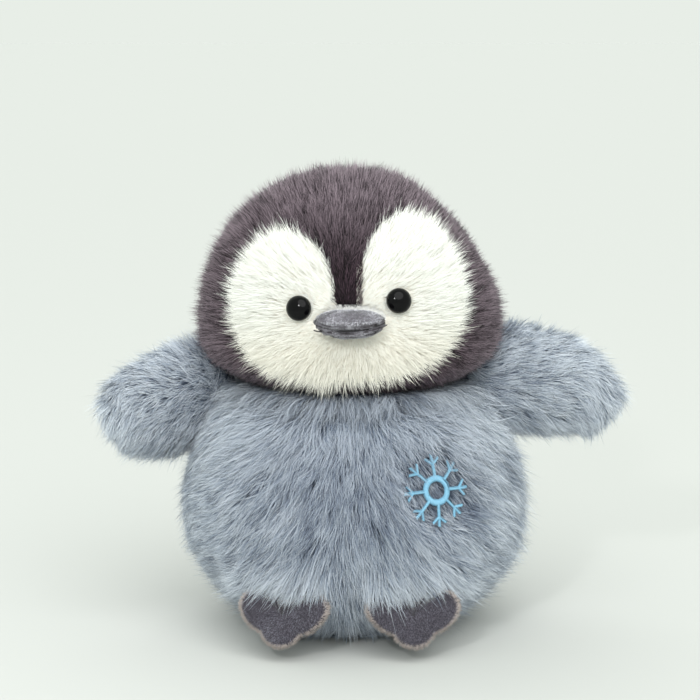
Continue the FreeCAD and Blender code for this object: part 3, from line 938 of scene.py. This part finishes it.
def lip(name, node, upper):
    """One half of the beak: a soft lens cut along the mouth, with folds beside the cut."""
    low, high = (np.array(c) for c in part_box("beak_upper"))
    depth, half_width = (high[1] - low[1]) / 2, (high[0] - low[0]) / 2 - (1.7 if upper else 2.4) * MM
    reach_up = high[2] - beak[2] - 1.6 * MM
    reach_down = beak[2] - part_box("beak_lower")[0][2] - 1.0 * MM
    t, a = np.meshgrid(np.linspace(-0.995, 0.995, 64), round_turn(56), indexing="ij")
    outer = reach_up * (1 - np.abs(t) ** 3) ** 0.5 if upper else -reach_down * (1 - np.abs(t) ** 2.4) ** 0.6
    mouth = mouth_line(t) * (1 - t**8)
    sine, cosine = np.sin(a), np.cos(a)
    flat_side = (sine < 0) == upper
    half = np.abs(outer - mouth) / 2
    z = (outer + mouth) / 2 + half * np.sign(sine) * np.abs(sine) ** np.where(flat_side, 0.5, 0.95)
    bulge = depth * (1 - np.abs(t) ** 2.6) ** 0.45 * (1 - 0.3 * (z / reach_up) ** 2)
    y = (low[1] + high[1]) / 2 - bulge * np.sign(cosine) * np.abs(cosine) ** 0.7
    grid = np.stack([beak[0] + half_width * t, y, beak[2] + z], -1)
    piece = round_grid(name, grid, minky_grey)
    puff(piece, pressure=2.0, cap=0.25 * MM)
    mesh = piece.data
    points, corners = mesh_triangles(mesh)
    smooth = np.zeros((len(points), 3))
    smooth[corners.reshape(-1)] = smooth_corners(points, corners)[1].reshape(-1, 3)

    def from_mouth(spots):
        return np.abs(spots[:, 2] - beak[2] - mouth_line((spots[:, 0] - beak[0]) / half_width))

    def folds_at(spots):
        run = from_mouth(spots) / ((0.42 if upper else 0.3) * MM)
        return np.sin(run + 2.5 * drift(spots, 4 * MM, 31, 1)[:, 0]) + drift(spots, 1.3 * MM, 32, 1)[:, 0]
    folds = folds_at(points)
    depth_of_fold = 0.3 * MM * bell(from_mouth(points) - 1.5 * MM, 2.4 * MM) + 0.05 * MM
    move_points(mesh, points + smooth * (folds * depth_of_fold)[:, None])
    mesh.update()
    dress(piece, "head", "minky_grey", node, "beak_filling")
    place, normal = scatter(*smooth_corners(*mesh_triangles(mesh)), BEAK_NAP)
    seen = place[:, 1] < (low[1] + high[1]) / 2 + depth * 0.5
    place, normal = place[seen], normal[seen]
    gap = from_mouth(place)
    flow = np.stack([drift(place, 3 * MM, 33, 1)[:, 0], np.zeros(len(place)), np.full(len(place), -0.7)], 1)
    # Painted shade: the nap is darkened in the fold hollows beside the mouth, along the mouth on the upper
    # lip, towards both ends of the beak, and over all of the lower lip, so the top of the upper lip stays
    # lightest.
    crease = 0.7 * np.clip(-folds_at(place), 0, 1) * bell(gap - 1.5 * MM, 2.6 * MM)
    ends = ease(np.abs(place[:, 0] - beak[0]), 0.72 * half_width, half_width)
    shade = np.clip((0.7 * bell(gap, 1.8 * MM) if upper else 0.45) + crease + 0.4 * ends, 0, 1)
    piece = fur(f"{name}_nap", place - normal * 0.15 * MM, normal, on_surface(flow, normal), 0.9 * MM,
                (1.2, 0.7), grey_nap, lock=0.8 * MM, gather=0.0, shade_and_tint=shade, per_mm2=BEAK_NAP, combed=0.0,
                lock_tone=0.0)
    dress(piece, "head", "minky_grey", node)


# ---- snowflake in satin stitch

THREAD = 0.42 * MM
FLAKE_ARMS = 8


def cords(name, paths, radius, kind, sides=5):
    """A round thread along each path; all paths have the same number of points."""
    count, rows = paths.shape[:2]
    along = unit(np.gradient(paths, axis=1))
    helper = np.where(np.abs(along[..., 1:2]) < 0.8, [0.0, 1.0, 0.0], [1.0, 0.0, 0.0])
    first = unit(np.cross(along, helper))
    second = np.cross(along, first)
    turns = np.arange(sides) / sides * 2 * math.pi
    thin = np.ones(rows)
    thin[[0, -1]] = 0.6
    ring = (first[:, :, None] * np.cos(turns)[None, None, :, None]
            + second[:, :, None] * np.sin(turns)[None, None, :, None])
    verts = paths[:, :, None] + ring * (radius * thin)[None, :, None, None]
    faces = []
    for i in range(count):
        base = i * rows * sides
        for r in range(rows - 1):
            for k in range(sides):
                j = (k + 1) % sides
                faces.append((base + r * sides + k, base + r * sides + j, base + (r + 1) * sides + j,
                              base + (r + 1) * sides + k))
        faces.append(tuple(base + k for k in reversed(range(sides))))
        faces.append(tuple(base + (rows - 1) * sides + k for k in range(sides)))
    return new_piece(name, verts.reshape(-1, 3), faces, kind)


def on_belly(flat):
    """Flat spots about the flake's middle, laid on the belly: places and normals."""
    tree, _ = tree_of(("belly_panel",))
    outside = flake + (flake - torso_centre) * 0.5
    facing = unit(np.array(tree.ray_cast(Vector(outside), Vector(torso_centre - flake))[1]))
    right = unit(np.cross([0, 0, 1.0], facing))
    upward = np.cross(facing, right)
    place, normal = [], []
    for u, v in flat:
        start = flake + u * right + v * upward + facing * 30 * MM
        hit, face_normal, _, _ = tree.ray_cast(Vector(start), Vector(-facing))
        place.append(hit)
        normal.append(face_normal)
    return np.array(place), np.array(normal)


def satin(runs):
    """Stitches laid side by side across each run: centre line from start to end, and a width."""
    ends, heights = [], []
    for start, end, width, slant in runs:
        start, end = np.array(start), np.array(end)
        run = end - start
        across = np.array([-run[1], run[0]]) / np.linalg.norm(run)
        for k in np.arange(0, np.linalg.norm(run), THREAD * 0.82):
            spot = start + unit(run) * k
            lean = unit(run) * slant * width
            for w in np.linspace(-0.5, 0.5, 5):
                ends.append(spot + across * w * width + lean * w + rng.normal(0, 0.03 * MM, 2))
                heights.append(0.75 * MM * (1 - (2 * w) ** 4) + 0.15 * MM)
    place, normal = on_belly(ends)
    return (place + normal * np.array(heights)[:, None]).reshape(-1, 5, 3)


def snowflake():
    ring_in, ring_out, arm, twig, width = 4.2 * MM, 7.4 * MM, 6.9 * MM, 4.6 * MM, 1.6 * MM
    runs = []
    pieces = 40
    middle = (ring_in + ring_out) / 2
    for k in range(pieces):
        start, end = (2 * math.pi * (k + s) / pieces for s in (0, 1))
        ends = [(middle * math.cos(a), middle * math.sin(a)) for a in (start, end)]
        runs.append((*ends, ring_out - ring_in, 0.0))
    for k in range(FLAKE_ARMS):
        a = 2 * math.pi * k / FLAKE_ARMS
        out = np.array([math.cos(a), math.sin(a)])
        runs.append((out * arm, out * FLAKE_REACH, width, 0.5))
        fork = out * (FLAKE_REACH - twig)
        for lean in (-50, 50):
            b = a + math.radians(lean)
            runs.append((fork, fork + twig * np.array([math.cos(b), math.sin(b)]), width * 0.8, 0.5))
    piece = cords("snowflake_satin", satin(runs), THREAD / 2, thread_blue)
    dress(piece, "torso", "thread_blue", "snowflake_embroidery")


# ---- base

def base():
    """The cloth under the toy: a flat oval with a soft edge that turns up, and its ring of stitches."""
    low, high = (np.array(c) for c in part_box("base_panel"))
    middle, half = (low + high) / 2, (high - low) / 2
    turns = round_turn(96)
    rows = []
    # Share of the oval's size, and height in millimetres.
    for reach, height in ((0.1, 0.6), (0.4, 0.5), (0.7, 0.4), (0.85, 0.3), (0.95, 0.5), (1.0, 1.6),
                          (0.98, 2.6), (0.8, 2.8), (0.4, 2.8), (0.1, 2.8)):
        rows.append(np.stack([middle[0] + half[0] * reach * np.cos(turns),
                              middle[1] + half[1] * reach * np.sin(turns),
                              np.full(96, height * MM) + 0.1 * MM * np.sin(9 * turns) * (reach < 0.9)], 1))
    piece = round_grid("base_sheet", np.stack(rows), cloth)
    puff(piece, pressure=1.0, cap=0.4 * MM)
    dress(piece, "torso", "base_cloth", "base_panel")
    paths = []
    x_reach, y_reach = half[:2] * 0.9
    for turn in round_turn(90):
        arc = turn + np.linspace(-0.022, 0.022, 5)
        paths.append(np.stack([middle[0] + x_reach * np.cos(arc), middle[1] + y_reach * np.sin(arc),
                               np.array([0.5, 0.25, 0.2, 0.25, 0.5]) * MM], 1))
    dress(cords("base_stitches", np.stack(paths), 0.2 * MM, thread_grey), "torso", "thread_grey")


# ---- CAD pieces that keep their shape

CARRIED = {"torso_stuffing": wadding, "neck_stuffing": wadding, "head_stuffing": wadding,
           "pellet_pouch": pouch, "pellets": pellet,
           "closing_stitches": thread_grey, "neck_seam_thread": thread_grey, "mouth_thread": thread_dark,
           "eye_left": eye_black, "eye_right": eye_black,
           "eye_washer_left": washer, "eye_washer_right": washer}


def carry():
    for name, kind in CARRIED.items():
        holder = nodes[name]
        if not holder.material_slots:
            holder.data.materials.append(kind)
        for slot in holder.material_slots:
            slot.link = "OBJECT"
            slot.material = kind


# ---- stage, camera and lights

BACKGROUND = (232, 238, 231)
# name, place, strength, spread in degrees
SUNS = (("key", (0.3, -1.0, 1.15), 1.8, 60), ("back", (-0.3, 0.9, 1.0), 0.8, 60))


def stage():
    """A floor that meets the background in the same tone."""
    falling = sum(power * place[2] / math.hypot(*place) / math.pi for _, place, power, _ in SUNS)
    made, _, shader = material("floor_pale", roughness=1.0, specular=0.0)
    shader.inputs["Base Color"].default_value = (*(c / (c + falling) for c in linear(*BACKGROUND)), 1)
    far = 60.0
    corners = [(-far, -far, 0), (far, -far, 0), (far, far, 0), (-far, far, 0)]
    floor = new_piece("floor", corners, [(0, 1, 2, 3)], made)
    world = bpy.data.worlds.new("studio")
    world.use_nodes = True
    world.node_tree.nodes["Background"].inputs["Color"].default_value = (*linear(*BACKGROUND), 1)
    bpy.context.scene.world = world
    bpy.context.scene.view_settings.view_transform = "Standard"


def hang(name, data, place, target=(0, 0, 0)):
    made = bpy.data.objects.new(name, data)
    bpy.context.scene.collection.objects.link(made)
    made.location = place
    made.rotation_euler = (Vector(target) - Vector(place)).to_track_quat("-Z", "Y").to_euler()
    return made


def lights():
    for name, place, strength, spread in SUNS:
        data = bpy.data.lights.new(name, "SUN")
        data.energy = strength
        data.angle = math.radians(spread)
        hang(name, data, place)
    data = bpy.data.lights.new("glint", "AREA")
    data.size = 0.09
    data.energy = 3.0
    hang("glint", data, (-0.28, -0.95, 0.62), (0, 0, 0.15))


def camera():
    data = bpy.data.cameras.new("camera")
    data.sensor_width = 36
    distance, high, field, target = 1.0, math.radians(9), 0.350, np.array([0, 0, 0.137])
    data.lens = data.sensor_width * distance / field
    place = target + np.array([0, -math.cos(high), math.sin(high)]) * distance
    bpy.context.scene.camera = hang("camera", data, tuple(place), tuple(target))


camera()
stage()
lights()
carry()
base()
for side in SIDES:
    foot(side)
lip("beak_top_lip", "beak_upper", True)
lip("beak_low_lip", "beak_lower", False)
egg_skin("torso_pile", TORSO_PANELS, torso_centre, "torso", "fur_blue_grey", pile_blue)
egg_skin("head_pile", HEAD_PANELS, head_centre, "head", "fur_charcoal", pile_dark)
neck_plush()
snowflake()
torso_fur(("belly_fur_right", "belly_fur_left"), "belly_panel")
for side in SIDES:
    torso_fur((f"back_fur_{side}",), f"back_panel_{side}")
    head_fur(f"face_fur_{side}", f"face_panel_{side}", white, "fur_white")
    head_fur(f"hood_fur_{side}", f"hood_{side}", charcoal, "fur_charcoal")
    wing_skin(side)
    wing_fur(side)
head_fur("crown_fur", "crown_gusset", charcoal, "fur_charcoal")
